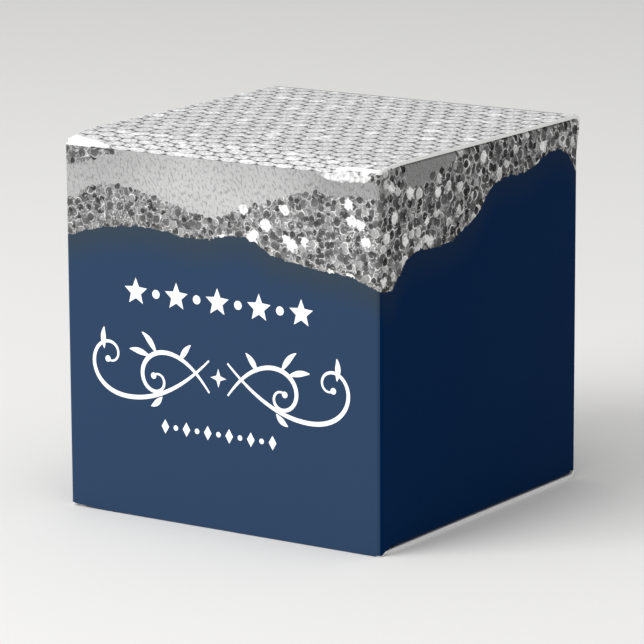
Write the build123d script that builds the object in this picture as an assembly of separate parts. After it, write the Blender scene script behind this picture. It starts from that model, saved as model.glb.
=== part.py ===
from build123d import *

# A two-inch favour carton: one die-cut, creased and glued blank of paperboard.
# Four walls are glued into a tube. The lid and the base hinge on the back wall, and each tucks in
# behind the front wall over two dust flaps that hinge on the side walls.
# Frame: millimetres, origin at the bottom centre, +Z up, the front wall faces -Y.

import os
from math import cos, radians, sin

# Driving dimensions
WIDTH = 50.8             # outside, left to right: 2 in
DEPTH = 50.8             # outside, front to back: 2 in
HEIGHT = 51.8            # outside, with the lid and the base lying over the folded ends
BOARD = 0.5              # thickness of the paperboard
FOLD_R = 0.7             # outside radius of an ordinary fold
HINGE_R = 1.0            # outside radius of the looser fold that carries the lid or the base
TUCK_FOLD_R = 1.4        # outside radius of the soft fold that carries a tuck flap
AIR = 0.05               # air between two boards that lie on each other
GLUE = 0.1               # thickness of the dried glue line

# Tuck flap of the lid and of the base
TUCK_LENGTH = 12.0       # from its fold line to its tip
TUCK_HALF_WIDTH = 24.2
TUCK_CORNER_R = 6.0
TUCK_LEAN = 16.0         # degrees that the tucked flap leans in from the front wall
TUCK_AIR = 0.1           # between the fold of the tuck flap and the front wall
SLIT = 7.0               # length of the lock slit at each end of the fold
SLIT_GAP = 0.4           # the shoulder of the flap lies this far below its fold

# Front wall
FRONT_DIP = 1.5          # between the slits, its top edge lies this far below the lid's top
FRONT_DIP_SIDE = 0.4     # the dip goes on this far beyond each end of the tuck flap's fold

# Lid and base panels
LID_HALF_WIDTH = 25.25
LID_CORNER_R = 1.5
LID_REACH = 25.2         # the lid's corners outside the slits lie on the front wall
BASE_REACH = 24.8        # the base's stop behind it, because it comes down to the table
HINGE_HALF = 25.15       # half length of the fold that carries the panel

# Dust flaps
DUST_LENGTH = 18.0       # from the fold line to the tip
DUST_ROOT = (-22.4, 23.9)    # the fold's two ends along Y
DUST_TIP = (-20.0, 15.2)     # the tip's two ends along Y
DUST_CORNER_R = 3.0

# Glue flap and glue line, on the left wall's inside
GLUE_FLAP = 10.0         # width of the flap
GLUE_FLAP_TAPER = 3.5    # each end narrows by this much
GLUE_FLAP_INSET = 1.5    # from the box's top and bottom, beside the fold
GLUE_LINE_WIDTH = 7.0
GLUE_LINE_LENGTH = 42.0
SEAM_LIP = 0.3           # the left wall's raw edge stops this far short of the back face

# Derived places
HALF_W = WIDTH / 2
HALF_D = DEPTH / 2
ENDS_TOP = HEIGHT - BOARD - AIR         # top of the dust flaps and of the front wall's corners
FLAP_FLAT = ENDS_TOP - FOLD_R           # a side wall is flat up to here, then its dust flap folds
EAR_TOP = HEIGHT - HINGE_R              # raw edge of a side wall beside its flap
FOLD_FRONT = -HALF_D + BOARD + TUCK_AIR  # outermost line of the tuck flap's fold
FOLD_HALF = LID_HALF_WIDTH - SLIT       # half length of the fold between the slits
SEAM_X = -HALF_W + BOARD + GLUE         # outer face of the glue flap
BACK_LEFT = SEAM_X + FOLD_R             # left end of the back wall's flat
BACK_RIGHT = HALF_W - FOLD_R
MIDDLE = Plane.XY.offset(HEIGHT / 2)


def slab(plane, outline, low, high):
    """A flat outline given thickness, from low to high along the plane's normal."""
    return extrude(plane.offset(low) * outline, amount=high - low)


def box(x, y, z):
    """A box between two limits on each axis."""
    corner = Vector(x[0], y[0], z[0])
    size = Vector(x[1], y[1], z[1]) - corner
    return Pos(*corner) * Box(size.X, size.Y, size.Z, align=(Align.MIN, Align.MIN, Align.MIN))


def fold(plane, centre, start, sweep, outer_r, low, high):
    """A bent strip of board: a ring sector, from low to high along the plane's normal."""
    outer = CenterArc(centre, outer_r, start, sweep)
    inner = CenterArc(centre, outer_r - BOARD, start, sweep)
    ends = [Line(outer @ 0, inner @ 0), Line(outer @ 1, inner @ 1)]
    return slab(plane, make_face([outer, inner, *ends]), low, high)


def rounded(points, radii):
    """A closed outline with the given corner radius at each point, 0 for a sharp corner."""
    face = make_face(Polyline(*points, close=True))
    for point, radius in zip(points, radii):
        if radius:
            vertex = face.vertices().sort_by_distance((*point, 0))[0]
            face = fillet(vertex, radius)
    return face


def front_wall():
    """The front wall, down to the table, with a long shallow dip for the lid's soft fold."""
    deep = (-HALF_D, -HALF_D + BOARD)
    wall = box((-HALF_W + FOLD_R, HALF_W - FOLD_R), deep, (AIR, ENDS_TOP))
    dip_half = FOLD_HALF + FRONT_DIP_SIDE
    return wall - box((-dip_half, dip_half), deep, (HEIGHT - FRONT_DIP, HEIGHT))


def back_wall():
    return box((BACK_LEFT, BACK_RIGHT), (HALF_D - BOARD, HALF_D), (HINGE_R, HEIGHT - HINGE_R))


def side_wall(sign, back):
    """A side wall, with an ear of raw edge beside each end of its two dust flaps."""
    across = sorted((sign * (HALF_W - BOARD), sign * HALF_W))
    wall = box(across, (-HALF_D + FOLD_R, back), (HEIGHT - EAR_TOP, EAR_TOP))
    for low, high in ((FLAP_FLAT, HEIGHT), (0, HEIGHT - FLAP_FLAT)):
        wall -= box(across, DUST_ROOT, (low, high))
    return wall


def corner_fold(x, y, start):
    """An upright fold between two walls, with its centre at x, y."""
    return fold(Plane.XY, (x, y), start, 90, FOLD_R, HEIGHT - EAR_TOP, EAR_TOP)


def glue_flap():
    """The tapered flap that folds off the back wall and is glued inside the left wall."""
    root, tip = HALF_D - FOLD_R, HALF_D - FOLD_R - GLUE_FLAP
    low, high = GLUE_FLAP_INSET, HEIGHT - GLUE_FLAP_INSET
    points = [(root, low), (root, high), (tip, high - GLUE_FLAP_TAPER), (tip, low + GLUE_FLAP_TAPER)]
    return slab(Plane.YZ, make_face(Polyline(*points, close=True)), SEAM_X, SEAM_X + BOARD)


def glue_line():
    """The strip of dried glue between the glue flap and the left wall."""
    front = HALF_D - FOLD_R - GLUE_FLAP / 2 - GLUE_LINE_WIDTH / 2
    low = (HEIGHT - GLUE_LINE_LENGTH) / 2
    return box((SEAM_X - GLUE, SEAM_X), (front, front + GLUE_LINE_WIDTH), (low, low + GLUE_LINE_LENGTH))


def lid_panel(reach):
    """The lid, with its fold in the middle of the front edge and a free corner at each end."""
    fold_start = FOLD_FRONT + TUCK_FOLD_R
    side = [(LID_HALF_WIDTH, HALF_D - HINGE_R), (LID_HALF_WIDTH, -reach)]
    half = side + [(FOLD_HALF, FOLD_FRONT), (FOLD_HALF, fold_start)]
    other = [(-x, y) for x, y in reversed(half)]
    radii = [0, LID_CORNER_R, 0, 0]
    return slab(Plane.XY, rounded(half + other, radii + radii[::-1]), HEIGHT - BOARD, HEIGHT)


def lid_crease():
    """The living hinge between the back wall and the lid."""
    centre = (HALF_D - HINGE_R, HEIGHT - HINGE_R)
    return fold(Plane.YZ, centre, 0, 90, HINGE_R, -HINGE_HALF, HINGE_HALF)


def lid_tuck_crease():
    """The fold between the lid and its tuck flap, between the two lock slits."""
    centre = (FOLD_FRONT + TUCK_FOLD_R, HEIGHT - TUCK_FOLD_R)
    return fold(Plane.YZ, centre, 90, 90 + TUCK_LEAN, TUCK_FOLD_R, -FOLD_HALF, FOLD_HALF)


def lid_tuck_flap():
    """The tuck flap, leaning in behind the front wall, with a shoulder outside each slit."""
    lean = radians(TUCK_LEAN)
    centre_y, centre_z = FOLD_FRONT + TUCK_FOLD_R, HEIGHT - TUCK_FOLD_R
    start = (0, centre_y - TUCK_FOLD_R * cos(lean), centre_z - TUCK_FOLD_R * sin(lean))
    outer_face = Plane(origin=start, x_dir=(1, 0, 0), z_dir=(0, -cos(lean), -sin(lean)))
    tip = -(TUCK_LENGTH - TUCK_FOLD_R * radians(90 + TUCK_LEAN) / 2)
    half = [(FOLD_HALF, 0), (FOLD_HALF, -SLIT_GAP), (TUCK_HALF_WIDTH, -SLIT_GAP), (TUCK_HALF_WIDTH, tip)]
    other = [(-x, y) for x, y in reversed(half)]
    radii = [0, 0, 0, TUCK_CORNER_R]
    return slab(outer_face, rounded(half + other, radii + radii[::-1]), -BOARD, 0)


def lid_dust_flap():
    """The right dust flap, narrowing towards its tip."""
    root, tip = HALF_W - FOLD_R, HALF_W - DUST_LENGTH
    points = [(root, DUST_ROOT[0]), (root, DUST_ROOT[1]), (tip, DUST_TIP[1]), (tip, DUST_TIP[0])]
    outline = rounded(points, [0, 0, DUST_CORNER_R, DUST_CORNER_R])
    return slab(Plane.XY, outline, ENDS_TOP - BOARD, ENDS_TOP)


def lid_dust_crease():
    """The fold between the right wall and its dust flap."""
    centre = (HALF_W - FOLD_R, FLAP_FLAT)
    return fold(Plane.XZ, centre, 0, 90, FOLD_R, -DUST_ROOT[1], -DUST_ROOT[0])


nodes = {
    "front_wall": front_wall(),
    "right_wall": side_wall(1, HALF_D - FOLD_R),
    "back_wall": back_wall(),
    "left_wall": side_wall(-1, HALF_D - SEAM_LIP),
    "front_right_crease": corner_fold(HALF_W - FOLD_R, -HALF_D + FOLD_R, -90),
    "back_right_crease": corner_fold(BACK_RIGHT, HALF_D - FOLD_R, 0),
    "glue_flap_crease": corner_fold(BACK_LEFT, HALF_D - FOLD_R, 90),
    "front_left_crease": corner_fold(-HALF_W + FOLD_R, -HALF_D + FOLD_R, 180),
    "glue_flap": glue_flap(),
    "glue_line": glue_line(),
}

closure = {
    "crease": lid_crease(),
    "tuck_flap": lid_tuck_flap(),
    "tuck_crease": lid_tuck_crease(),
    "dust_flap_right": lid_dust_flap(),
    "dust_crease_right": lid_dust_crease(),
    "dust_flap_left": mirror(lid_dust_flap(), about=Plane.YZ),
    "dust_crease_left": mirror(lid_dust_crease(), about=Plane.YZ),
}

nodes["lid_panel"] = lid_panel(LID_REACH)
nodes["base_panel"] = mirror(lid_panel(BASE_REACH), about=MIDDLE)

# The base closes the box just as the lid does, upside down
for name, solid in closure.items():
    nodes["lid_" + name] = solid
    nodes["base_" + name] = mirror(solid, about=MIDDLE)

os.makedirs("parts", exist_ok=True)
for name, solid in nodes.items():
    export_step(solid, f"parts/{name}.step")
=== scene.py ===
import math

import bmesh
import bpy
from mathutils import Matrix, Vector


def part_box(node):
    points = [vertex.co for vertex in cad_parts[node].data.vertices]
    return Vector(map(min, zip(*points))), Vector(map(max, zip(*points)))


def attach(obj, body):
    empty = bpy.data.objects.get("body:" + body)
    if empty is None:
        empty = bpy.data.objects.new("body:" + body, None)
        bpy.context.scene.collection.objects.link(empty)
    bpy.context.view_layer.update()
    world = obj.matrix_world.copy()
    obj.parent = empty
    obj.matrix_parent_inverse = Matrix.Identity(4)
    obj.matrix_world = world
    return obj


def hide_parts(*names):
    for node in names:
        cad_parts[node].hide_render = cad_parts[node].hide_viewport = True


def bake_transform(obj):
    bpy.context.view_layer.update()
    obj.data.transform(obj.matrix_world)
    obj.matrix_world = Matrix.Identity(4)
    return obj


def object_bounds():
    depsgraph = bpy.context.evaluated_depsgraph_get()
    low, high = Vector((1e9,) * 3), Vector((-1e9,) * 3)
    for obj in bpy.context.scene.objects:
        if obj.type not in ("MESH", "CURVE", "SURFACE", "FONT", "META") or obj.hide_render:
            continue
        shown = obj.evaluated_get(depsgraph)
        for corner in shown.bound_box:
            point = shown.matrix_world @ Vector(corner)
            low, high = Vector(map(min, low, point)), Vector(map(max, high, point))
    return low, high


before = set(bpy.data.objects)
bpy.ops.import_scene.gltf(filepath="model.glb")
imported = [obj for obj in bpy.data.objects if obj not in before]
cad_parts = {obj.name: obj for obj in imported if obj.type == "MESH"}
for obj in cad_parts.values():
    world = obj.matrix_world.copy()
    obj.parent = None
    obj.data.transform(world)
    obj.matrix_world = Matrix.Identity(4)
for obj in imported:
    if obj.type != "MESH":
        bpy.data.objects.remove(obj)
cad_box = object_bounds()

# Lengths are in millimetres, and become metres where a mesh, a light or the camera is made.
MM = 0.001


def node_box(node):
    """A CAD node's lowest and highest corners, in millimetres."""
    return [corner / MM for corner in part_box(node)]


# ---- Sizes, all from the frame -------------------------------------------

HALF_W, HALF_D, HEIGHT = (value / MM for value in cad_box[1])
FRONT, BACK, RIGHT = node_box("front_wall"), node_box("back_wall"), node_box("right_wall")
BOARD = FRONT[1].y - FRONT[0].y
FOLD_R = HALF_W - FRONT[1].x            # outside radius of an ordinary fold
HINGE_R = HEIGHT - BACK[1].z            # outside radius of the lid's and the base's hinge fold
ENDS_TOP = FRONT[1].z                   # top of the front wall's corners and of the dust flaps
EAR_TOP = RIGHT[1].z                    # raw top edge of a side wall, beside its dust flap
FLAP_FLAT = ENDS_TOP - FOLD_R           # a dust flap's fold starts here
SEAM_X = node_box("glue_flap")[0].x     # outer face of the glue flap
BACK_LEFT = BACK[0].x
LEFT_BACK = node_box("left_wall")[1].y  # the left wall's raw edge, at the glued corner
LID_HALF = node_box("lid_panel")[1].x
FOLD_HALF = node_box("lid_tuck_crease")[1].x    # half length of the tuck fold, between the slits
FOLD_FRONT, FOLD_START = (corner.y for corner in node_box("lid_tuck_crease"))
TUCK_R = FOLD_START - FOLD_FRONT        # outside radius of the soft tuck fold
DUST_ROOT = [corner.y for corner in node_box("lid_dust_crease_right")]
DUST_TIP_X = node_box("lid_dust_flap_right")[0].x
TUCK_HALF = node_box("lid_tuck_flap")[1].x

# Sizes that the frame's boxes don't give, as in the CAD
TUCK_LEAN = math.radians(16)            # lean of the tucked flap away from the front wall
TUCK_LENGTH = 12.0
TUCK_CORNER_R = 6.0
SLIT_GAP = 0.4
LID_REACH = 25.2                        # the lid's free corners reach this far forward
BASE_REACH = 24.8
FRONT_DIP = 1.5                         # of the front wall's top edge, below the lid's top
DUST_TIP = (-20.0, 15.2)
DUST_CORNER_R = 3.0
GLUE_FLAP = 10.0
GLUE_FLAP_TAPER = 3.5
GLUE_FLAP_INSET = 1.5

SIDE = 2 * HALF_W                       # one wall's share of the printed wrap

# ---- Node arithmetic -----------------------------------------------------


class Field:
    """A value in a material's node tree. Arithmetic on it adds Math nodes."""

    def __init__(self, socket):
        self.socket = socket
        self.tree = socket.id_data

    def into(self, socket):
        self.tree.links.new(self.socket, socket)

    def math(self, operation, *others):
        node = self.tree.nodes.new("ShaderNodeMath")
        node.operation = operation
        for socket, value in zip(node.inputs, (self, *others)):
            put(value, socket)
        return Field(node.outputs[0])

    def __add__(self, other):
        return self.math("ADD", other)

    def __sub__(self, other):
        return self.math("SUBTRACT", other)

    def __rsub__(self, other):
        return self.math("MULTIPLY", -1).math("ADD", other)

    def __mul__(self, other):
        return self.math("MULTIPLY", other)

    def __truediv__(self, other):
        return self.math("DIVIDE", other)

    __radd__ = __add__
    __rmul__ = __mul__

    def __abs__(self):
        return self.math("ABSOLUTE")

    def most(self, other):
        return self.math("MAXIMUM", other)

    def least(self, other):
        return self.math("MINIMUM", other)

    def step(self, low, high):
        """0 below low, 1 above high, and smooth between. Low may be the greater, to turn it round."""
        node = self.tree.nodes.new("ShaderNodeMapRange")
        node.interpolation_type = "SMOOTHSTEP"
        for name, value in (("Value", self), ("From Min", low), ("From Max", high)):
            put(value, node.inputs[name])
        return Field(node.outputs["Result"])


def put(value, socket):
    """Gives a socket a field, a number or a colour."""
    if isinstance(value, Field):
        value.into(socket)
    elif isinstance(value, tuple):
        socket.default_value = (*value, 1)
    else:
        socket.default_value = value


def vector(x, y, z=0.0):
    """A vector field of three fields or numbers, of which x is a field."""
    node = x.tree.nodes.new("ShaderNodeCombineXYZ")
    for value, socket in zip((x, y, z), node.inputs):
        put(value, socket)
    return Field(node.outputs[0])


def parts(field):
    """The three parts of a vector or colour field."""
    node = field.tree.nodes.new("ShaderNodeSeparateXYZ")
    field.into(node.inputs[0])
    return [Field(socket) for socket in node.outputs]


def shifted(place, x, y):
    """The field of places, moved by x and y."""
    node = place.tree.nodes.new("ShaderNodeVectorMath")
    place.into(node.inputs[0])
    node.inputs[1].default_value = (x, y, 0)
    return Field(node.outputs[0])


def noise(place, scale, detail=2.0, roughness=0.5, flat=True):
    """Smooth noise from 0 to 1, with that many lumps per unit of length."""
    node = place.tree.nodes.new("ShaderNodeTexNoise")
    node.noise_dimensions = "2D" if flat else "3D"
    place.into(node.inputs["Vector"])
    for name, value in (("Scale", scale), ("Detail", detail), ("Roughness", roughness)):
        node.inputs[name].default_value = value
    return Field(node.outputs["Fac"])


def cells(place, spacing, randomness):
    """Voronoi cells: the distance to the middle, three random numbers, and the middle."""
    node = place.tree.nodes.new("ShaderNodeTexVoronoi")
    node.voronoi_dimensions = "2D"
    place.into(node.inputs["Vector"])
    node.inputs["Scale"].default_value = 1 / spacing
    node.inputs["Randomness"].default_value = randomness
    distance, colour, middle = (Field(node.outputs[name]) for name in ("Distance", "Color", "Position"))
    return distance, parts(colour), middle


def profile(field, points, top):
    """A smooth curve of a field, through points whose values lie between 0 and top."""
    node = field.tree.nodes.new("ShaderNodeFloatCurve")
    curve = node.mapping.curves[0]
    width = points[-1][0]
    while len(curve.points) < len(points):
        curve.points.new(0.5, 0.5)
    for point, (x, y) in zip(curve.points, points):
        point.location = (x / width, y / top)
    node.mapping.update()
    (field / width).into(node.inputs["Value"])
    return Field(node.outputs["Value"]) * top


def blend(low, high, share):
    """A value or field between low and high."""
    node = share.tree.nodes.new("ShaderNodeMix")
    share.into(node.inputs["Factor"])
    put(low, node.inputs["A"])
    put(high, node.inputs["B"])
    return Field(node.outputs["Result"])


def blend_colour(low, high, share):
    """A colour between two colours."""
    node = share.tree.nodes.new("ShaderNodeMix")
    node.data_type = "RGBA"
    share.into(node.inputs[0])
    put(low, node.inputs[6])
    put(high, node.inputs[7])
    return Field(node.outputs[2])


def tinted(grey, tint):
    """A grey field as a colour, with a slight tint."""
    red, green, blue = (grey * share for share in tint)
    return vector(red, green, blue)


# ---- Materials -----------------------------------------------------------

NAVY_FRONT_PAINTED_SHEEN = (0.0250, 0.0500, 0.1005)    # a lighter navy on the front panel: the same navy as the sides, with painted light and painted sheen
NAVY_SIDE = (0.0, 0.0155, 0.062)
NAVY_HAZE = (0.058, 0.056, 0.006)        # a warm haze over the navy, just below the torn edge
HAZE_DEPTH = 5.2
PAPER = (0.86, 0.855, 0.835)

# The torn lower edge of the glitter, as (distance round the wrap, height), from the glued corner
# round the left, front, right and back walls
LOWER_EDGE = (
    (0, 41), (6, 42.3), (14, 40), (22, 41.4), (31, 38.6), (40, 39.6), (46, 37.6),
    (50.8, 37.9), (54.8, 39.0), (59.8, 40.0), (65.8, 40.2), (72.5, 39.5), (79.8, 40.6),
    (84.8, 38.6), (91.3, 37.5), (97.8, 36.8), (101.6, 35.5),
    (103.6, 35.1), (105.6, 36.5), (110.1, 39.4), (116.6, 39.2), (124.1, 41.3), (131.6, 45.8),
    (137.6, 45.9), (147.1, 47.6), (152.4, 43.5),
    (158, 41), (165, 42.5), (173, 40), (181, 38.6), (189, 40.6), (196, 39.4), (203.2, 41),
)
# The upper edge of the glitter, where the plain foil starts
UPPER_EDGE = (
    (0, 47), (8, 47.5), (18, 45.4), (28, 47), (38, 44.4), (46, 43),
    (50.8, 42.8), (54.8, 44.8), (60.8, 45.5), (65.8, 44.5), (71.3, 43.2), (74.8, 42.5),
    (78.8, 43.9), (84.8, 45.8), (89, 47.2), (97, 47.5), (101.6, 47.7),
    (103.2, 48.4), (104.4, 53), (106.5, 53), (107.8, 49.3), (109.3, 47.8), (112.6, 48.3),
    (115.4, 49.2), (118.8, 50.0), (120.6, 51.2), (122.5, 55), (150, 55),
    (158, 50), (166, 47), (175, 45.4), (184, 46.6), (193, 45), (203.2, 47),
)
# Glitter above this line too, in patches along the top edge
PATCH_EDGE = (
    (0, 55), (30, 55), (40, 50), (50.8, 47.7), (53.6, 47.9), (55.8, 49.1), (59, 50), (61.5, 54),
    (70, 55), (90, 55), (95, 51.5), (98, 50.2), (101.6, 49.4), (104, 49.2), (106, 55), (203.2, 55),
)
CURVE_TOP = 60.0         # above every height in these lists

# The layers of loose flakes: seed, spacing, radius, and the distance round the wrap where they start.
# Those that start at the right wall are the bold ones: bigger, with darker faces and brighter rims.
FLAKE_LAYERS = (
    (1, 1.15, 0.50, 0), (2, 1.4, 0.54, 0), (3, 1.7, 0.58, 0),
    (4, 1.55, 0.68, 2 * SIDE + 0.3), (6, 1.7, 0.72, 2 * SIDE + 0.3),
)
HOT_SPACING, HOT_RADIUS, HOT_SEED = 2.4, 0.74, 5      # the flakes that catch the light
# A bright patch at the top of the front wall: its middle and its half width and half height
BRIGHT_PATCH = (SIDE + 45.4, 50.2)
BRIGHT_REACH = (3.8, 0.75)
# The wrap is left white above this height by the lid's front left corner, between these distances
BARE_ABOVE = 50.36
BARE_FROM, BARE_TO = SIDE - 0.8, SIDE + 8.6
FOOT_RISE, FOOT_TOP = 0.5, 0.6           # slope and top of the white at the side walls' front feet
NET_PITCH = (2.95, 5.5)                  # the lid's net of hexagons, across and along
BARE_LID_BACK = -5.4                     # the lid's bare corner goes this far down round its front edge


def material(name, roughness, specular):
    """A new material and its shader."""
    made = bpy.data.materials.new(name)
    made.use_nodes = True
    shader = made.node_tree.nodes["Principled BSDF"]
    shader.inputs["Roughness"].default_value = roughness
    shader.inputs["Specular IOR Level"].default_value = specular
    return made, shader


def print_place(made):
    """The place on the printed sheet, in millimetres."""
    node = made.node_tree.nodes.new("ShaderNodeUVMap")
    node.uv_map = "print"
    return Field(node.outputs["UV"])


def bump(shader, height, distance):
    """Gives the shader a relief of that many millimetres."""
    node = height.tree.nodes.new("ShaderNodeBump")
    node.inputs["Distance"].default_value = distance * MM
    height.into(node.inputs["Height"])
    Field(node.outputs["Normal"]).into(shader.inputs["Normal"])


def flakes(place, spacing, radius, seed):
    """One layer of hexagonal flakes: where they lie, how near their rim, how far to their lit side,
    their random numbers and their middles. Each seed takes its own part of one pattern."""
    part_x, part_y = seed * 37.0, seed * 61.0
    _, chance, middle = cells(shifted(place, part_x, part_y), spacing, 0.95)
    middle = shifted(middle, -part_x, -part_y)
    turn = place.tree.nodes.new("ShaderNodeVectorRotate")
    turn.rotation_type = "Z_AXIS"
    place.into(turn.inputs["Vector"])
    middle.into(turn.inputs["Center"])
    (chance[0] * (2 * math.pi)).into(turn.inputs["Angle"])
    away = place.tree.nodes.new("ShaderNodeVectorMath")
    away.operation = "SUBTRACT"
    Field(turn.outputs["Vector"]).into(away.inputs[0])
    middle.into(away.inputs[1])
    x, y, _ = parts(Field(away.outputs[0]))
    hexagon = (abs(x) * math.cos(math.pi / 6) + abs(y) * 0.5).most(abs(y))
    circle = (x * x + y * y).math("SQRT")
    size = (chance[1] * 0.4 + 0.75) * radius
    reach = (hexagon * 0.6 + circle * 0.4) / size
    return reach.step(1.05, 0.95), reach, x / size, chance, middle


def shards(place, spacing, seed):
    """Thin bright lines between small splinters: how bright."""
    node = place.tree.nodes.new("ShaderNodeTexVoronoi")
    node.voronoi_dimensions = "2D"
    node.feature = "DISTANCE_TO_EDGE"
    shifted(place, seed * 29.0, seed * 17.0).into(node.inputs["Vector"])
    node.inputs["Scale"].default_value = 1 / spacing
    line = Field(node.outputs["Distance"]).step(0.11, 0.03)
    return line * noise(shifted(place, 5, seed), 1.1, 2).step(0.45, 0.62)


def glitter(place):
    """Loose silver flakes: their grey, and where they lie."""
    patchy = noise(place, 0.5, 2)
    _, shard, _ = cells(place, 0.30, 1.0)
    grey = 0.08 + shard[0] * shard[1] * 0.26 + (patchy - 0.3) * 0.30
    grey = grey + shards(place, 0.8, 1) * 0.36 + shards(place, 0.5, 2) * 0.24
    covers = in_glitter(place, (noise(place, 1.4, 3) - 0.5) * 0.9)
    for seed, spacing, radius, start in FLAKE_LAYERS:
        bold = start > 0
        on, reach, lit_side, chance, middle = flakes(place, spacing, radius, seed)
        kept = on * chance[2].step(0.40, 0.42) * in_glitter(middle, 0.0)
        kept = kept * parts(middle)[0].math("GREATER_THAN", start)
        face = (0.035 if bold else 0.065) + chance[1] * chance[1] * 0.09 + lit_side * 0.03
        face = face + (noise(place, 4.5, 2) - 0.5) * 0.09
        pale = chance[0].step(0.80, 0.82) * (0.7 if bold else 0.3)
        face = face + pale * (0.2 + noise(place, 2.2, 3))
        ring = reach.step(0.66, 0.80) * reach.step(1.02, 0.90) * lit_side.step(-0.3, 0.7)
        grey = blend(grey, face + ring * (chance[2] - 0.33) * (1.5 if bold else 0.85), kept)
        covers = covers.most(kept)
    glints = shards(place, 1.0, 3) * noise(place, 1.7, 1).step(0.48, 0.60)
    from_left = parts(place)[0].step(SIDE + 8, SIDE + 34)
    grey = (grey * (0.80 + from_left * 0.20) + glints * 0.34).least(0.8)
    hot = hot_flakes(place)
    return blend(grey, 1.0, hot), covers.most(hot)


def hot_flakes(place):
    """The few flakes that catch the light, most of them by the front right fold and low in the band."""
    waves = (noise(place, 1.9, 3) - 0.5) * 0.9
    along, height, _ = parts(place)
    uneven = vector(along + waves, height - waves)
    _, reach, _, chance, middle = flakes(uneven, HOT_SPACING, HOT_RADIUS, HOT_SEED)
    across, above, _ = parts(middle)
    above = above - profile(across, LOWER_EDGE, CURVE_TOP)
    by_fold = across.step(64, 92) * across.step(118, 104)
    picked = chance[2] + by_fold * (0.26 + above.step(2.4, 1.2) * 0.12) + (noise(middle, 0.2, 1) - 0.5) * 0.3
    on = reach.step(1.15, 0.80) * (0.75 + (noise(place, 1.8, 2) - 0.5) * 0.9).least(1.0)
    return (on * picked.step(0.85, 0.87)).least(1.0) * in_glitter(middle, 0.0)


def in_glitter(place, wobble):
    """1 where a place lies in the glitter: below its upper edge, or in a patch along the top."""
    along, height, _ = parts(place)
    lies_below = height.math("LESS_THAN", profile(along, UPPER_EDGE, CURVE_TOP) + wobble)
    lies_above = height.math("GREATER_THAN", profile(along, PATCH_EDGE, CURVE_TOP) + wobble)
    return lies_below.most(lies_above)


def foil(place):
    """Pale embossed foil: light grey, shaded along the band, with small dark pits."""
    along, height, _ = parts(place)
    pits = vector(along * 1.25 + height * 0.5, height * 0.62 - along * 0.2)
    pit = noise(pits, 2.3, 2, 0.45).step(0.50, 0.70)
    brushed = noise(vector(along * 3.0, height * 0.5), 1.0, 2)
    shine = along.step(SIDE + 4, SIDE + 22) * along.step(SIDE + 44, SIDE + 30)
    grey = 0.315 + shine * 0.09 + height.step(50.5, 45.0) * 0.05 - along.step(SIDE + 38, SIDE + 46) * 0.05
    grey = grey + (noise(place, 0.12, 1) - 0.5) * 0.06 + (brushed - 0.5) * 0.07
    return grey * (1.04 - pit * 0.33) + (noise(place, 3.5, 3) - 0.5) * 0.14


def unprinted(place):
    """1 where the wrap is left white: by the lid's front left corner, and at the side walls' front feet."""
    along, height, _ = parts(place)
    past_front = abs(along - 1.5 * SIDE) - (SIDE / 2 + 0.2)
    foot_top = (past_front * FOOT_RISE + 0.1).least(FOOT_TOP)
    foot = height.math("LESS_THAN", foot_top) * height.math("GREATER_THAN", 0.0)
    foot = foot * along.math("LESS_THAN", 3 * SIDE - 0.2)
    corner = height.math("GREATER_THAN", BARE_ABOVE) * along.math("LESS_THAN", BARE_TO)
    return foot.most(corner * along.math("GREATER_THAN", BARE_FROM))


def printed_wrap():
    """The print round the walls: navy up to a torn edge, then silver glitter, then foil."""
    made, shader = material("printed_wrap", 0.42, 0.01)
    place = print_place(made)
    along, height, _ = parts(place)
    grey, covers = glitter(place)
    x = (along - BRIGHT_PATCH[0]) / BRIGHT_REACH[0]
    y = (height - BRIGHT_PATCH[1]) / BRIGHT_REACH[1]
    patch = (x * x + y * y + (noise(place, 1.1, 3) - 0.5) * 2.2).step(1.2, 0.6)
    bright = (0.66 + (noise(place, 1.6, 3) - 0.5) * 1.0).least(0.85)
    silver = blend(blend(foil(place), grey, covers), bright, patch)
    fray = (noise(place, 0.55, 5, 0.62) - 0.5) * 1.1
    fray = fray + (noise(place, 2.6, 3) - 0.5) * 0.4
    rise = height - (profile(along, LOWER_EDGE, CURVE_TOP) + fray)
    deckle = rise.step(0.28, 0.02) * noise(place, 0.9, 3).step(0.48, 0.64)
    silver = blend(silver, 0.50, deckle * 0.4 * along.step(2 * SIDE + 1, 2 * SIDE - 1))
    warm = blend_colour((1.0, 1.0, 1.0), (1.0, 0.988, 0.97), rise.step(1.0, 0.1))
    red, green, blue = (silver * share for share in parts(warm))
    on_front = along.math("GREATER_THAN", SIDE) * along.math("LESS_THAN", 2 * SIDE)
    # Painted light and sheen: the front panel gets a lighter copy of the navy, for the light it catches.
    navy = blend_colour(NAVY_SIDE, NAVY_FRONT_PAINTED_SHEEN, on_front)
    navy = blend_colour(navy, NAVY_HAZE, rise.step(-HAZE_DEPTH, 0.0) * (0.11 + on_front * 0.17))
    colour = blend_colour(navy, vector(red, green, blue), rise.step(-0.03, 0.03))
    colour = blend_colour(colour, PAPER, unprinted(place))
    colour.into(shader.inputs["Base Color"])
    bump(shader, noise(place, 6.0, 3), 0.006)
    return made


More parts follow.
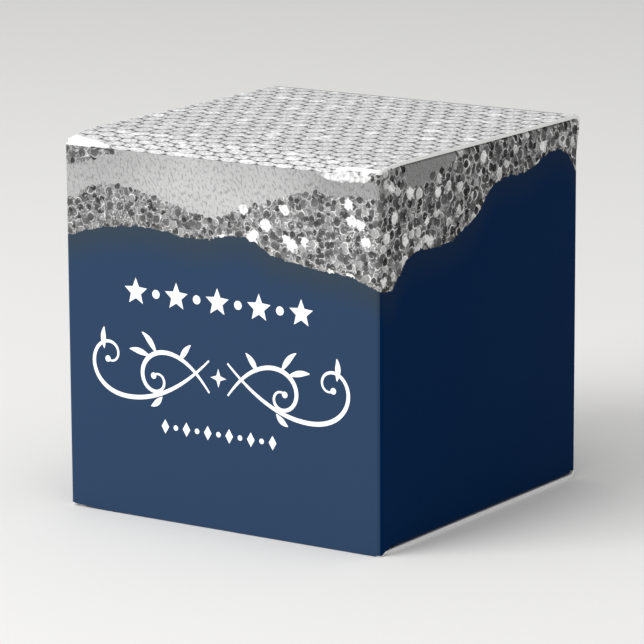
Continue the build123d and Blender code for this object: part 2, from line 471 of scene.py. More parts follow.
def printed_lid():
    """The lid's print: pale foil under a net of hexagons with dark corners, bare at its front left."""
    made, shader = material("printed_lid", 0.42, 0.1)
    place = print_place(made)
    across, along, _ = parts(place)
    bare = (along + across * 0.67 + (noise(place, 1.2, 2) - 0.5) * 0.5).step(0.7, 0.2)
    bare = bare * across.math("LESS_THAN", HALF_W - FOLD_HALF)
    bare = bare * along.math("GREATER_THAN", BARE_LID_BACK)
    across = across + (noise(place, 0.5, 1) - 0.5) * 0.5
    along = along + (noise(shifted(place, 40, 9), 0.5, 1) - 0.5) * 0.5
    width, depth = NET_PITCH

    def offset(value, pitch, start):
        return (value + start).math("FLOORED_MODULO", pitch) - pitch / 2

    first = [offset(across, width, 0), offset(along, depth, 0)]
    second = [offset(across, width, width / 2), offset(along, depth, depth / 2)]
    spans = [x * x + y * y for x, y in (first, second)]
    nearer = spans[0].math("LESS_THAN", spans[1])
    x, y = (blend(b, a, nearer) for a, b in zip(first, second))
    reach = abs(x).most(abs(x) * 0.5 + abs(y) * 0.80) / (width / 2)
    corner = (x * x + y * y).math("SQRT") / (width / 2)
    line = reach.step(0.68, 0.86) * (0.26 + corner.step(0.96, 1.10) * 0.74)
    streak = noise(vector(across * 1.8, along * 3.6), 1.0, 3, 0.7)
    shine = noise(place, 0.30, 2).step(0.58, 0.74)
    base = 0.57 + (streak - 0.5) * 1.9 + shine * 0.24
    grey = blend(base, 0.0, line * (1 - shine * 0.4)).least(0.95).most(0.02)
    grey = blend(grey, 0.84 + (streak - 0.5) * 0.2, bare)
    tinted(grey, (1.0, 1.0, 1.005)).into(shader.inputs["Base Color"])
    bump(shader, noise(place, 6.0, 3), 0.006)
    return made


def fibre_place(made, stretch=(1.0, 1.0, 1.0)):
    """The place in space, in millimetres, stretched for fibres."""
    node = made.node_tree.nodes.new("ShaderNodeTexCoord")
    x, y, z = parts(Field(node.outputs["Object"]))
    return vector(*(value * (share / MM) for value, share in zip((x, y, z), stretch)))


def plain_board():
    """Uncoated white board, with faint fibres and mottling."""
    made, shader = material("plain_board", 0.82, 0.25)
    place = fibre_place(made)
    mottle = noise(place, 0.35, 3, 0.6, flat=False)
    fibre = noise(place, 4.5, 4, 0.7, flat=False)
    grey = 0.93 + (mottle - 0.5) * 0.09 + (fibre - 0.5) * 0.1
    tinted(grey, PAPER).into(shader.inputs["Base Color"])
    bump(shader, fibre, 0.02)
    return made


def cut_edge():
    """The raw cut edge of the board: layered fibres, a little darker than its face."""
    made, shader = material("cut_edge", 0.9, 0.15)
    place = fibre_place(made)
    layers = noise(place, 5.5, 3, 0.7, flat=False)
    grey = 0.95 + (layers - 0.5) * 0.22
    tinted(grey, (0.94, 0.94, 0.935)).into(shader.inputs["Base Color"])
    bump(shader, layers, 0.03)
    return made


def dried_glue():
    """Dried white glue: glossier than board, slightly yellow and uneven."""
    made, shader = material("dried_glue", 0.35, 0.5)
    place = fibre_place(made, (1.0, 1.0, 0.4))
    ripple = noise(place, 0.8, 2, flat=False)
    tinted(0.88 + (ripple - 0.5) * 0.2, (0.92, 0.90, 0.80)).into(shader.inputs["Base Color"])
    bump(shader, ripple, 0.05)
    return made


def white_ink():
    """White ink on the front print, slightly uneven."""
    made, shader = material("white_ink", 0.4, 0.2)
    place = fibre_place(made)
    uneven = noise(place, 3.0, 3, flat=False)
    tinted(0.93 + (uneven - 0.5) * 0.06, (0.97, 0.985, 1.0)).into(shader.inputs["Base Color"])
    return made


WRAP_PRINT, LID_PRINT, PLAIN, CUT = printed_wrap(), printed_lid(), plain_board(), cut_edge()

# ---- Board pieces --------------------------------------------------------

GRID = 2.5               # spacing of a panel's points, so that it can bow
FOLD_STEPS = 14          # facets across a quarter turn of a fold
ROUNDING = 0.06          # softened rim of a cut edge
ARC_STEPS = 6            # facets of a rounded corner
SHARP = math.radians(20)     # edges sharper than this aren't shaded smooth


def rounded(points, radii):
    """An outline with its corners rounded by the given radii, 0 for a sharp one."""
    outline = []
    count = len(points)
    for i, radius in enumerate(radii):
        here, before, after = (Vector(points[j % count]) for j in (i, i - 1, i + 1))
        if not radius:
            outline.append(here)
            continue
        back, on = (before - here).normalized(), (after - here).normalized()
        half = back.angle(on) / 2
        middle = here + (back + on).normalized() * radius / math.sin(half)
        start = here + back * radius / math.tan(half) - middle
        turn = math.pi - 2 * half
        turn = turn if back.x * on.y - back.y * on.x < 0 else -turn
        for k in range(ARC_STEPS + 1):
            angle = turn * k / ARC_STEPS
            cos, sin = math.cos(angle), math.sin(angle)
            outline.append(middle + Vector((start.x * cos - start.y * sin, start.x * sin + start.y * cos)))
    return outline


def on_side(point, side):
    """Whether a point of the sheet lies on a joined side, given as two ends."""
    start, end = Vector(side[0]), Vector(side[1])
    along = (end - start).normalized()
    away = Vector(point) - start
    across = abs(away.x * along.y - away.y * along.x)
    return across < 1e-4 and -1e-4 < away.dot(along) < (end - start).length + 1e-4


def sheet(outline, steps):
    """A flat mesh of an outline, cut into a grid so that it can bend."""
    mesh = bmesh.new()
    mesh.faces.new([mesh.verts.new((a, b, 0)) for a, b in outline])
    for axis, step in enumerate(steps):
        low, high = min(p[axis] for p in outline), max(p[axis] for p in outline)
        count = max(1, round((high - low) / step))
        normal = Vector((1 - axis, axis, 0))
        for k in range(1, count):
            everything = mesh.verts[:] + mesh.edges[:] + mesh.faces[:]
            cut = normal * (low + (high - low) * k / count)
            bmesh.ops.bisect_plane(mesh, geom=everything, plane_co=cut, plane_no=normal)
    return mesh


def board(name, outline, place, on_print, joined=(), steps=(GRID, GRID), looks=(WRAP_PRINT, PLAIN, CUT)):
    """A piece of board. The outline lies flat, anticlockwise seen from the printed side. Place puts a
    point of the sheet in the box's frame, at a depth below the print, and on_print says where it lies on
    the printed sheet. Joined sides go on into a neighbour. The others are cut edges with a softened rim."""
    mesh = sheet(outline, steps)
    top = mesh.faces[:]
    rim = [edge for edge in mesh.edges if edge.is_boundary]
    under = {vert: mesh.verts.new((vert.co.x, vert.co.y, BOARD)) for vert in mesh.verts[:]}
    for face in top:
        mesh.faces.new([under[vert] for vert in reversed(face.verts)]).material_index = 1
    softened = []
    for edge in rim:
        loop = edge.link_loops[0]
        start, end = loop.vert, loop.link_loop_next.vert
        side = mesh.faces.new([end, start, under[start], under[end]])
        side.material_index = 2
        middle = (start.co.xy + end.co.xy) / 2
        if not any(on_side(middle, ends) for ends in joined):
            softened += [edge, mesh.edges.get([under[start], under[end]])]
    bmesh.ops.bevel(mesh, geom=softened, offset=ROUNDING, segments=2, profile=0.5, affect="EDGES", material=2)
    print_map = mesh.loops.layers.uv.new("print")
    for face in mesh.faces:
        face.smooth = True
        for loop in face.loops:
            loop[print_map].uv = on_print(loop.vert.co.x, loop.vert.co.y)
    for vert in mesh.verts:
        vert.co = settled(Vector(place(*vert.co))) * MM
    bmesh.ops.recalc_face_normals(mesh, faces=mesh.faces)
    return finished(name, mesh, looks)


def finished(name, mesh, looks):
    """An object from a finished bmesh."""
    data = bpy.data.meshes.new(name)
    mesh.to_mesh(data)
    mesh.free()
    data.set_sharp_from_angle(angle=SHARP)
    for look in looks:
        data.materials.append(look)
    made = bpy.data.objects.new(name, data)
    bpy.context.scene.collection.objects.link(made)
    return made


def smooth(value, low, high):
    """0 below low, 1 above high, and smooth between."""
    share = min(1.0, max(0.0, (value - low) / (high - low)))
    return share * share * (3 - 2 * share)


WALL_BOW = 0.12          # how far the front and side walls stand out in their middle
LID_BOW = 0.18
LID_DIP = 1.0            # the soft fold draws the lid's front edge down this much
LEFT_DIP, RIGHT_DIP = 0.7, 0.4          # and these shares of it at the front corners
HINGE_BULGE = 0.60       # the hinge fold and the top of the back wall stand out this much


def dome(a, b):
    """1 in the middle of a panel, 0 at its edges, for a and b from -1 to 1."""
    return max(0.0, 1 - a * a) * max(0.0, 1 - b * b)


def lid_drop(x, y):
    """How far the soft fold draws the lid down: most along its front edge, less at the corners, and
    nothing behind a strip along the front."""
    left = LEFT_DIP + (1 - LEFT_DIP) * smooth(HALF_W + x, 0.3, 6.4)
    right = RIGHT_DIP + (1 - RIGHT_DIP) * smooth(HALF_W - x, 5.0, 8.0)
    return LID_DIP * left * right * smooth(-y, 19.8, 24.6)


def in_wall(distance, half):
    """1 within the board of a wall that far from the box's middle, 0 further in."""
    return smooth(distance, half - BOARD - 0.06, half - BOARD - 0.02)


def settled(point):
    """Where a point of the ideal box lies on this one: its front, its sides and its lid bow out a
    little, and the hinge fold stands out at the back."""
    x, y, z = point
    a, b, c = x / HALF_W, y / HALF_D, (z - HEIGHT / 2) / (HEIGHT / 2)
    moved = Vector(point)
    moved.y -= WALL_BOW * dome(a, c) * in_wall(-y, HALF_D)
    moved.x += WALL_BOW * dome(b, c) * in_wall(x, HALF_W)
    moved.x -= WALL_BOW * dome(b, c) * in_wall(-x, HALF_W)
    moved.z += LID_BOW * dome(a, b) * smooth(z, HEIGHT - BOARD - 0.04, HEIGHT - BOARD - 0.01)
    moved.y += HINGE_BULGE * smooth(z, HEIGHT - 4.2, HEIGHT - 2.2) * smooth(y, HALF_D - 1.1, HALF_D - 0.5)
    return moved


def rectangle(a, b):
    """A rectangle's outline from its two spans."""
    return [(a[0], b[0]), (a[1], b[0]), (a[1], b[1]), (a[0], b[1])]


# ---- The tube: four walls, their upright folds, and the glued seam -------


CORNER_TOP = ENDS_TOP + 0.03             # top of the walls by the front corners, just under the lid
RIGHT_CORNER_TOP = CORNER_TOP - LID_DIP * RIGHT_DIP
LEFT_CORNER_TOP = (50.35, 50.65)         # top of the front left fold, at the left wall and at the front
LEFT_FOOT, RIGHT_FOOT = 0.35, 0.1        # foot of the walls at the front's left and right folds
LEFT_FOOT_RUN = 4.0                      # the front wall's foot comes down over this length
EDGE_STEP = 0.5                          # between points on the front wall's curved top edge
FOLD_GAP = 0.03                          # between the lid's tuck fold and the front wall's corners
NOTCH = HEIGHT - 3.0                     # the back right fold ends here, below the lid's hinge


def wall_print(start):
    """Where a wall's points lie on the print, for a wall that starts there."""
    return lambda a, b: (start + a, b)


def front_wall():
    """The front wall. Its top edge follows the lid's, and dips for the lid's soft fold."""
    near, far = FOLD_R, SIDE - FOLD_R
    reach = far - HALF_W
    count = math.ceil((reach - FOLD_HALF) / EDGE_STEP)
    places = [reach - k * EDGE_STEP for k in range(count)] + [FOLD_HALF + FOLD_GAP]
    right = [(x, CORNER_TOP - lid_drop(x, -HALF_D)) for x in places]
    left = [(-x, CORNER_TOP - lid_drop(-x, -HALF_D)) for x in reversed(places)]
    dip = [(x, HEIGHT - FRONT_DIP) for x in (places[-1], -places[-1])]
    left[-1] = (left[-1][0], LEFT_CORNER_TOP[1])
    outline = [(near, LEFT_FOOT), (near + LEFT_FOOT_RUN, RIGHT_FOOT), (far, FRONT[0].z)]
    outline += [(HALF_W + x, z) for x, z in right + dip + left]
    wall = board(
        "front_wall_board", outline,
        lambda a, b, depth: (a - HALF_W, depth - HALF_D, b), wall_print(SIDE),
        joined=(((near, LEFT_FOOT), (near, left[-1][1])), ((far, FRONT[0].z), (far, right[0][1]))),
        looks=(WRAP_PRINT, PLAIN, WRAP_PRINT),
    )
    finish_piece(wall, "front_wall", "carton")


def side_wall(name, sign, start, starts, ends):
    """A side wall. Starts and ends are the heights of its two upright edges, lowest first."""
    end = SIDE - FOLD_R
    root = [HALF_D + sign * y for y in DUST_ROOT][::sign]
    folds = (HEIGHT - FLAP_FLAT, FLAP_FLAT)
    start_top = CORNER_TOP if sign == 1 else EAR_TOP
    outline = [
        (start, starts[0]), (root[0], folds[0]), (root[1], folds[0]), (end, ends[0]),
        (end, ends[1]), (root[1], EAR_TOP), (root[1], folds[1]),
        (root[0], folds[1]), (root[0], start_top), (start, starts[1]),
    ]
    joined = [((root[0], folds[k]), (root[1], folds[k])) for k in (0, 1)]
    joined.append(((end, ends[0]), (end, ends[1])))
    if sign == 1:
        joined.append(((start, starts[0]), (start, starts[1])))
    wall = board(
        name + "_board", outline,
        lambda a, b, depth: (sign * (HALF_W - depth), sign * (a - HALF_D), b),
        wall_print(2 * SIDE if sign == 1 else 0.0), joined=joined,
        looks=(WRAP_PRINT, PLAIN, WRAP_PRINT if sign == 1 else CUT),
    )
    finish_piece(wall, name, "carton")


def back_wall():
    """The back wall. Beside the lid's hinge, on the right, it is cut down to the top of its fold."""
    near, far = FOLD_R, HALF_W - BACK_LEFT
    beside = HALF_W - LID_HALF
    low, high = HINGE_R, HEIGHT - HINGE_R
    outline = [(near, low), (far, low), (far, high), (beside, high), (beside, NOTCH), (near, NOTCH)]
    wall = board(
        "back_wall_board", outline,
        lambda a, b, depth: (HALF_W - a, HALF_D - depth, b), wall_print(3 * SIDE),
        joined=[((near, low), (near, NOTCH)), ((far, low), (far, high)),
                ((near, low), (far, low)), ((beside, high), (far, high))],
        looks=(WRAP_PRINT, PLAIN, WRAP_PRINT),
    )
    finish_piece(wall, "back_wall", "carton")


def upright_folds():
    """The folds between the walls, each a quarter turn about an upright line."""
    front = -HALF_D + FOLD_R
    back = HALF_D - FOLD_R
    foot = HEIGHT - EAR_TOP
    right = HALF_W - FOLD_R
    right_tops = (RIGHT_CORNER_TOP, RIGHT_CORNER_TOP)
    folds = (
        ("front_left_crease", -right, front, 180, SIDE, LEFT_FOOT, LEFT_CORNER_TOP),
        ("front_right_crease", right, front, 270, 2 * SIDE, RIGHT_FOOT, right_tops),
        ("back_right_crease", right, back, 0, 3 * SIDE, foot, (NOTCH, NOTCH)),
        ("glue_flap_crease", BACK_LEFT, back, 90, 4 * SIDE, foot, (EAR_TOP, EAR_TOP)),
    )
    for name, x, y, start, along, low, tops in folds:
        def place(a, b, depth, x=x, y=y, start=start):
            angle = math.radians(start) + a * math.pi / 2
            return x + (FOLD_R - depth) * math.cos(angle), y + (FOLD_R - depth) * math.sin(angle), b

        fold = board(
            name + "_board", [(0, low), (1, low), (1, tops[1]), (0, tops[0])], place,
            lambda a, b, along=along: (along + (2 * a - 1) * FOLD_R, b),
            joined=(((0, low), (0, tops[0])), ((1, low), (1, tops[1]))), steps=(1 / FOLD_STEPS, GRID),
        )
        finish_piece(fold, name, "carton")


def seam():
    """The glue flap, folded in from the back wall, and the glue that holds it inside the left wall."""
    low, high = GLUE_FLAP_INSET, HEIGHT - GLUE_FLAP_INSET
    outline = [(0, low), (GLUE_FLAP, low + GLUE_FLAP_TAPER), (GLUE_FLAP, high - GLUE_FLAP_TAPER), (0, high)]
    flap = board(
        "glue_flap_board", outline,
        lambda a, b, depth: (SEAM_X + depth, HALF_D - FOLD_R - a, b), lambda a, b: (a, b),
        joined=(((0, low), (0, high)),), looks=(PLAIN, PLAIN, CUT),
    )
    finish_piece(flap, "glue_flap", "carton", "plain_board")
    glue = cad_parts["glue_line"]
    glue.data.materials.clear()
    glue.data.materials.append(dried_glue())


INK_LIFT = 0.02          # the ink's face above the print


def ink_shape(mesh, points, lift=INK_LIFT):
    """One flat shape of ink on the front wall, its outline in distance along the wall and height."""
    corners = []
    for a, b in points:
        x, y, z = settled((a - HALF_W, -HALF_D, b))
        corners.append(mesh.verts.new(Vector((x, y - lift, z)) * MM))
    mesh.faces.new(corners)


def spot(middle, radius, points, inner=1.0):
    """The outline of a star, or of a round spot where the inner share is 1."""
    outline = []
    for k in range(points * 2):
        reach = radius * (inner if k % 2 else 1.0)
        angle = math.pi / 2 + math.pi * k / points
        outline.append((middle[0] + reach * math.cos(angle), middle[1] + reach * math.sin(angle)))
    return outline


def pen_line(start, heading, bends):
    """A line from its start and heading, in stretches of a length whose bend, in radians for each
    millimetre, changes evenly from one value to another."""
    here, angle = Vector(start), math.radians(heading)
    line = [here.copy()]
    for length, first, last in bends:
        count = round(length / 0.25)
        step = length / count
        for k in range(count):
            angle += (first + (last - first) * (k + 0.5) / count) * step
            here += Vector((math.cos(angle), math.sin(angle))) * step
            line.append(here.copy())
    return line


def pen_stroke(mesh, line, thin, thick, hand, lift):
    """A pen stroke, thin at its ends and thick in its middle, on the right or left of the middle."""
    last = len(line) - 1
    sides = []
    for k, here in enumerate(line):
        ahead = (line[min(k + 1, last)] - line[max(k - 1, 0)]).normalized()
        half = (thin + (thick - thin) * math.sin(math.pi * k / last)) / 2
        across = Vector((-ahead.y, ahead.x)) * half
        sides.append([(SCROLL_MIDDLE + hand * p.x, p.y) for p in (here - across, here + across)])
    for (a, b), (c, d) in zip(sides, sides[1:]):
        ink_shape(mesh, [a, c, d, b][::hand], lift)


# One half of the scroll, in millimetres from its middle and above the foot: two curls and their leaves
SCROLL_MIDDLE = HALF_W - 0.2
CURLS = (
    ((1.5, 23.2), -44, ((15, 0.02, 0.08), (11, 0.08, 0.36), (6.5, 0.36, 1.0))),
    ((1.5, 18.8), 52, ((8.4, -0.02, -0.17), (8.6, -0.17, -0.46), (5.6, -0.46, -1.1))),
)
LEAVES = (
    ((10.2, 23.2), 62, ((3.6, -0.05, -0.25),)), ((11.3, 22.7), 18, ((3.4, 0.0, -0.2),)),
    ((6.3, 22.6), 118, ((3.0, 0.05, 0.2),)), ((9.3, 17.3), -52, ((2.4, 0.1, 0.3),)),
    ((18.9, 22.9), 80, ((3.0, 0.05, 0.22),)),
)


def scroll(mesh, hand):
    """Half of the scroll. Each stroke lies a little above the one before, so that none coincide."""
    for k, (start, heading, bends) in enumerate(CURLS):
        line = pen_line(start, heading, bends)
        pen_stroke(mesh, line, 0.26, 0.64, hand, INK_LIFT + k * 0.002)
        end = (SCROLL_MIDDLE + hand * line[-1].x, line[-1].y)
        ink_shape(mesh, spot(end, 0.45, 8), INK_LIFT + 0.004)
    for k, (start, heading, bends) in enumerate(LEAVES):
        pen_stroke(mesh, pen_line(start, heading, bends), 0.12, 0.85, hand, INK_LIFT + 0.006 + k * 0.001)


def row(mesh, middle, pitch, count, even, odd):
    """A row of two kinds of spots by turns, each kind given as its radius, points and inner share."""
    for k in range(count):
        place = (middle[0] + (k - count // 2) * pitch, middle[1])
        ink_shape(mesh, spot(place, *(odd if k % 2 else even)))


def by_corners(face, many=1e5):
    """A face's place in a fixed order, from its corners: solidify's own order differs each run."""
    first, second, third = sorted(vert.index for vert in face.verts)[:3]
    return (first * many + second) * many + third


def ornament():
    """White ink on the front: a row of stars and dots, a scroll, and a row of diamonds and dots."""
    mesh = bmesh.new()
    star, star_dot = (1.95, 5, 0.45), (0.62, 8, 1.0)
    diamond, diamond_dot = (1.0, 2, 0.62), (0.38, 8, 1.0)
    row(mesh, (HALF_W - 0.25, 31.3), 3.35, 9, star, star_dot)
    for hand in (-1, 1):
        scroll(mesh, hand)
    ink_shape(mesh, spot((SCROLL_MIDDLE, 21.0), 1.3, 4, 0.35))
    row(mesh, (HALF_W - 0.3, 13.25), 1.75, 11, diamond, diamond_dot)
    bmesh.ops.remove_doubles(mesh, verts=mesh.verts, dist=1e-7)
    bmesh.ops.recalc_face_normals(mesh, faces=mesh.faces)
    bmesh.ops.solidify(mesh, geom=mesh.faces[:], thickness=INK_LIFT * MM * 0.5)
    mesh.verts.index_update()
    mesh.faces.sort(key=by_corners)
    ink = finished("front_ornament", mesh, [white_ink()])
    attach(ink, "carton")


def finish_piece(piece, node, body, slot="navy_print"):
    """The piece stands for a CAD node and moves with a body."""
    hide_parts(node)
    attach(piece, body)


def finish_fold(piece, node, place, middle, slot):
    """The piece stands for a fold: its CAD node is hidden and its transform is baked into its mesh."""
    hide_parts(node)
    start, end = (settled(Vector(place(a, middle, BOARD))) * MM for a in (0, 1))
    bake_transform(piece)


# ---- The lid and the base: the same set of panels, the base upside down ----

SQUEEZE = 4.85           # the lid's pattern runs this much faster where its front edge turns down
LID_CORNER_R = 0.8       # radius of a panel's free corners
BASE_CORNER_R = 1.5
FREE_STEPS = 12          # of the edge between a free corner and the tuck fold
PANEL_BACK = HALF_D - HINGE_R
TUCK_SWEEP = math.pi / 2 + TUCK_LEAN


def turn(side):
    """1 for the lid and -1 for the base, whose outlines run the other way round."""
    return -1 if side == "base" else 1


def level(side, z):
    """A height on the lid, or the height of the same place on the base."""
    return HEIGHT - z if side == "base" else z


def drop(side, x, y):
    """How far a point of the panel is drawn down. The base lies flat on the table."""
    return 0.0 if side == "base" else lid_drop(x, y)


def on_panel(side, x, y):
    """Where a point of the panel lies on its print. The base's goes on from the back wall's."""
    if side == "base":
        return 3 * SIDE + HALF_W - x, y - HALF_D
    return x + HALF_W, y + HALF_D - SQUEEZE * lid_drop(x, y)


def closure_looks(side):
    """The materials of a panel and its tuck flap, and their record slot."""
    if side == "base":
        return (WRAP_PRINT, PLAIN, CUT), "navy_print"
    return (LID_PRINT, PLAIN, CUT), "silver_print"


def panel(side):
    """The lid's or the base's panel. Its front corners, beside the tuck fold, are free. The lid droops
    there, so its edge has points from where the rounded corner ends."""
    reach = BASE_REACH if side == "base" else LID_REACH
    corner = BASE_CORNER_R if side == "base" else LID_CORNER_R
    shares = [k / FREE_STEPS for k in range(4, FREE_STEPS)]
    free = [(-LID_HALF + (LID_HALF - FOLD_HALF) * k, -reach + (reach + FOLD_FRONT) * k) for k in shares]
    left = [(-LID_HALF, PANEL_BACK), (-LID_HALF, -reach), *free, (-FOLD_HALF, FOLD_FRONT)]
    left.append((-FOLD_HALF, FOLD_START))
    points = left + [(-x, y) for x, y in reversed(left)]
    radii = [0] * len(points)
    radii[1] = radii[-2] = corner
    looks, slot = closure_looks(side)
    made = board(
        side + "_panel_board", rounded(points, radii)[::turn(side)],
        lambda x, y, depth: (x, y, level(side, HEIGHT - depth - drop(side, x, y))),
        lambda x, y: on_panel(side, x, y),
        joined=(((-LID_HALF, PANEL_BACK), (LID_HALF, PANEL_BACK)),
                ((-FOLD_HALF, FOLD_START), (FOLD_HALF, FOLD_START))),
        steps=(1.6, 1.2), looks=looks,
    )
    finish_piece(made, side + "_panel", side, slot)


def hinge(side):
    """The fold by which a panel hangs on the back wall."""

    def place(a, b, depth):
        angle = a * math.pi / 2
        y = PANEL_BACK + (HINGE_R - depth) * math.cos(angle)
        z = HEIGHT - HINGE_R + (HINGE_R - depth) * math.sin(angle)
        return -b * turn(side), y, level(side, z)

    fold = board(
        side + "_crease_board", rectangle((0, 1), (-LID_HALF, LID_HALF)), place,
        lambda a, b: (3 * SIDE + HALF_W + b * turn(side), level(side, HEIGHT - HINGE_R + a * HINGE_R)),
        joined=(((0, -LID_HALF), (0, LID_HALF)), ((1, -LID_HALF), (1, LID_HALF))),
        steps=(1 / FOLD_STEPS, GRID),
    )
    finish_fold(fold, side + "_crease", place, 0, closure_looks(side)[1])


def tuck_fold_place(side, a, b, depth):
    """A point of the tuck fold, a from 0 at the panel to 1 at the flap."""
    x, angle = -b * turn(side), math.pi / 2 + a * TUCK_SWEEP
    y = FOLD_START + (TUCK_R - depth) * math.cos(angle)
    z = HEIGHT - TUCK_R + (TUCK_R - depth) * math.sin(angle) - drop(side, x, y) * (1 - a * a)
    return x, y, level(side, z)


def on_tuck_fold(side, a, b):
    """Where the tuck fold lies on the print, whose pattern is squeezed together on the lid's."""
    x, y, z = tuck_fold_place(side, a, b, 0)
    across, along = on_panel(side, x, FOLD_START)
    if side == "base":
        return across, along - a * TUCK_SWEEP * TUCK_R
    return across, y + HALF_D - SQUEEZE * (HEIGHT - z)


def tuck_fold(side):
    """The soft fold between a panel and its tuck flap."""
    looks, slot = closure_looks(side)

    def place(a, b, depth):
        return tuck_fold_place(side, a, b, depth)

    fold = board(
        side + "_tuck_crease_board", rectangle((0, 1), (-FOLD_HALF, FOLD_HALF)), place,
        lambda a, b: on_tuck_fold(side, a, b),
        joined=(((0, -FOLD_HALF), (0, FOLD_HALF)), ((1, -FOLD_HALF), (1, FOLD_HALF))),
        steps=(1 / FOLD_STEPS, 1.6), looks=looks,
    )
    finish_fold(fold, side + "_tuck_crease", place, 0, slot)


def tuck_flap(side):
    """The flap that tucks in behind the front wall, with rounded corners and a slit at each end."""
    looks, slot = closure_looks(side)
    cos, sin = math.cos(TUCK_LEAN), math.sin(TUCK_LEAN)
    tip = TUCK_LENGTH - TUCK_R * TUCK_SWEEP / 2

    def place(a, b, depth):
        y = FOLD_START - (TUCK_R - depth) * cos + b * sin
        z = HEIGHT - TUCK_R - (TUCK_R - depth) * sin - b * cos
        return a, y, level(side, z)

    def on_print(a, b):
        across, along = on_tuck_fold(side, 1, -a * turn(side))
        return across, along - b

    right = [(FOLD_HALF, 0), (FOLD_HALF, SLIT_GAP), (TUCK_HALF, SLIT_GAP), (TUCK_HALF, tip)]
    points = right + [(-a, b) for a, b in reversed(right)]
    radii = [0, 0, 0, TUCK_CORNER_R, TUCK_CORNER_R, 0, 0, 0]
    flap = board(
        side + "_tuck_flap_board", rounded(points, radii)[::-turn(side)], place, on_print,
        joined=(((-FOLD_HALF, 0), (FOLD_HALF, 0)),), looks=looks,
    )
    finish_piece(flap, side + "_tuck_flap", side + "_tuck_flap", slot)


def dust_flap(side, hand, sign):
    """A flap that folds in from a side wall, under the lid or over the base."""
    body, root = f"{side}_dust_flap_{hand}", HALF_W - FOLD_R
    points = [(root, y) for y in DUST_ROOT] + [(DUST_TIP_X, y) for y in reversed(DUST_TIP)]
    flap = board(
        body + "_board", rounded(points, [0, 0, DUST_CORNER_R, DUST_CORNER_R])[::turn(side) * sign],
        lambda a, b, depth: (sign * a, b, level(side, ENDS_TOP - depth)), lambda a, b: (a, b),
        joined=(((root, DUST_ROOT[0]), (root, DUST_ROOT[1])),), looks=(PLAIN, PLAIN, CUT),
    )
    finish_piece(flap, body, body, "plain_board")


def dust_fold(side, hand, sign):
    """The fold between a side wall and its dust flap."""
    body, way = f"{side}_dust_flap_{hand}", turn(side) * sign
    ends = sorted(y * way for y in DUST_ROOT)
    start = 2 * SIDE + HALF_D if sign == 1 else HALF_D

    def place(a, b, depth):
        angle = a * math.pi / 2
        x = HALF_W - FOLD_R + (FOLD_R - depth) * math.cos(angle)
        z = FLAP_FLAT + (FOLD_R - depth) * math.sin(angle)
        return sign * x, b * way, level(side, z)

    fold = board(
        f"{side}_dust_crease_{hand}_board", rectangle((0, 1), ends), place,
        lambda a, b: (start + b * turn(side), level(side, FLAP_FLAT + a * FOLD_R)),
        joined=(((0, ends[0]), (0, ends[1])), ((1, ends[0]), (1, ends[1]))),
        steps=(1 / FOLD_STEPS, GRID), looks=(WRAP_PRINT, PLAIN, WRAP_PRINT),
    )
    finish_fold(fold, f"{side}_dust_crease_{hand}", place, sum(ends) / 2, "navy_print")


front_wall()
side_wall("right_wall", 1, FOLD_R, (RIGHT_FOOT, RIGHT_CORNER_TOP), (HEIGHT - EAR_TOP, EAR_TOP))
side_wall("left_wall", -1, HALF_D - LEFT_BACK, (HEIGHT - EAR_TOP, EAR_TOP), (LEFT_FOOT, LEFT_CORNER_TOP[0]))
back_wall()
upright_folds()
seam()
ornament()
for side in ("lid", "base"):
    panel(side)
    hinge(side)
    tuck_fold(side)
    tuck_flap(side)
    for hand, sign in (("right", 1), ("left", -1)):
        dust_flap(side, hand, sign)
        dust_fold(side, hand, sign)

# ---- Floor, light and camera ---------------------------------------------


def floor():
    """A wide pale floor."""
    data = bpy.data.meshes.new("floor")
    reach = 4.0          # metres
    corners = [(-reach, -reach, 0), (reach, -reach, 0), (reach, reach, 0), (-reach, reach, 0)]
    data.from_pydata(corners, [], [(0, 1, 2, 3)])
    made = bpy.data.objects.new("floor", data)
    bpy.context.scene.collection.objects.link(made)
    look, shader = material("floor", 0.8, 0.2)
    shader.inputs["Base Color"].default_value = (0.72, 0.715, 0.705, 1)
    data.materials.append(look)


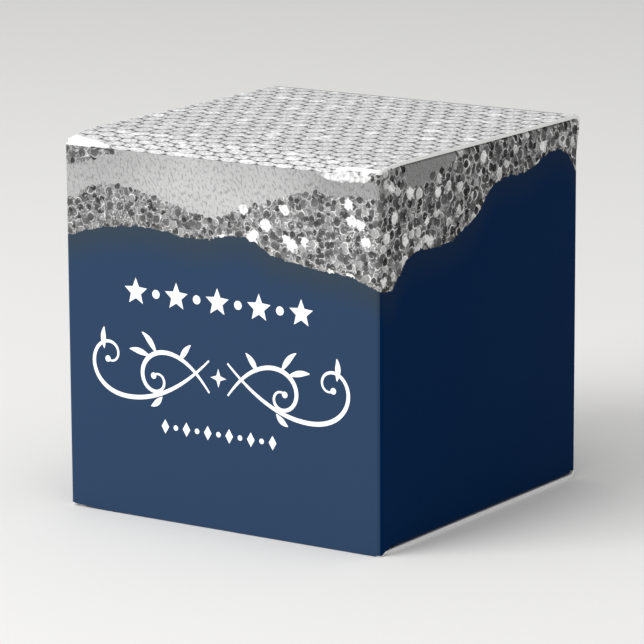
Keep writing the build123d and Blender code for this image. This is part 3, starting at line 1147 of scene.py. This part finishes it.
def direction(azimuth, elevation):
    """The way from the box to something seen there, in degrees from its front and above the table."""
    a, e = math.radians(azimuth), math.radians(elevation)
    return Vector((math.sin(a) * math.cos(e), -math.cos(a) * math.cos(e), math.sin(e)))


def soft_light(name, azimuth, elevation, distance, size, power):
    """A square soft light that looks at the box from that direction. Its lengths are in metres."""
    back = direction(azimuth, elevation)
    data = bpy.data.lights.new(name, "AREA")
    data.size, data.energy = size, power
    light = bpy.data.objects.new(name, data)
    light.location = back * distance + Vector((0, 0, HEIGHT * MM / 2))
    light.rotation_euler = back.to_track_quat("Z", "Y").to_euler()
    bpy.context.scene.collection.objects.link(light)


def studio():
    """Soft light all round, with a large key from the front left and a weaker light above."""
    world = bpy.data.worlds.new("studio")
    world.use_nodes = True
    world.node_tree.nodes["Background"].inputs["Color"].default_value = (1, 1, 1, 1)
    world.node_tree.nodes["Background"].inputs["Strength"].default_value = 0.55
    bpy.context.scene.world = world
    soft_light("key", -28, 32, 1.0, 0.7, 9.0)
    soft_light("top", 20, 80, 1.0, 0.6, 3.0)


CAMERA_AZIMUTH, CAMERA_ELEVATION, CAMERA_ROLL = 33.68, 12.10, -0.29      # degrees
CAMERA_DISTANCE = 544.3
CAMERA_TARGET = (-0.57, 0.0, 24.0)
CAMERA_LENS = 219.8      # on a 36 mm sensor


def camera():
    """The camera, at the photo's angle, rolled by a small angle about its own line of sight."""
    back = direction(CAMERA_AZIMUTH, CAMERA_ELEVATION)
    data = bpy.data.cameras.new("camera")
    data.lens = CAMERA_LENS
    data.clip_start = 0.01
    made = bpy.data.objects.new("camera", data)
    bpy.context.scene.collection.objects.link(made)
    made.location = (Vector(CAMERA_TARGET) + back * CAMERA_DISTANCE) * MM
    turned = back.to_track_quat("Z", "Y").to_matrix()
    right, up = turned.col[0].copy(), turned.col[1].copy()
    roll = math.radians(CAMERA_ROLL)
    turned.col[0] = right * math.cos(roll) + up * math.sin(roll)
    turned.col[1] = up * math.cos(roll) - right * math.sin(roll)
    made.rotation_euler = turned.to_euler()
    bpy.context.scene.camera = made


floor()
studio()
camera()
bpy.context.scene.view_settings.view_transform = "Standard"
